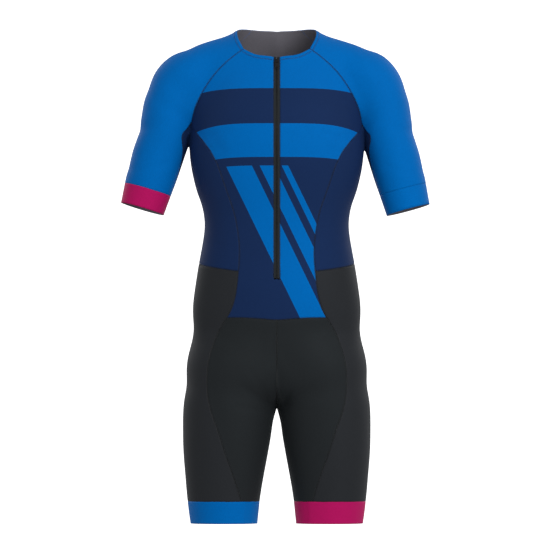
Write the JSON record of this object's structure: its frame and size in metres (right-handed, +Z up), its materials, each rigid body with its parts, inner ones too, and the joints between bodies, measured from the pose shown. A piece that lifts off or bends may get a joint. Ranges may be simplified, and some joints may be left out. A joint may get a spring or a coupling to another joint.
{
  "type": "one-piece racing suit",
  "caption": "Close-fitting one-piece racing suit with short raglan sleeves, front zip and knee-length legs with elastic bands, hollow as worn.",
  "frame": {"origin": "middle of the neck opening, level with the back of the neckline, where the wearer's shoulders carry the suit", "axes": "+X towards the wearer's left, -Y the front, +Z up"},
  "size_m": [0.5783, 0.2412, 0.9296],
  "materials": {
    "blue": "smooth stretch knit",
    "navy": "smooth stretch knit",
    "black": "smooth stretch knit",
    "charcoal": "smooth stretch knit",
    "magenta": "matt elastic band",
    "zip_tape": "woven tape",
    "zip_metal": "satin"
  },
  "bodies": {
    "suit": {"front_body": "navy", "back_body": "navy", "sleeve_right": "blue", "side_underarm_right": "navy", "cuff_right": "magenta", "outer_leg_right": "charcoal", "front_leg_right": "black", "back_leg_right": "black", "leg_band_right": "blue", "zip_tape_right": "zip_tape", "sleeve_left": "blue", "side_underarm_left": "navy", "cuff_left": "blue", "outer_leg_left": "charcoal", "front_leg_left": "black", "back_leg_left": "black", "leg_band_left": "magenta", "zip_tape_left": "zip_tape", "zip_slider": "zip_metal"},
    "pull_tab": {"pull_tab": "zip_metal"}
  },
  "joints": [
    {"name": "pull_tab_hinge", "type": "hinge", "parent": "suit", "child": "pull_tab", "pos_m": [0, -0.06944, -0.057], "axis": [-1, 0, 0], "range_deg": [0, 150]}
  ]
}
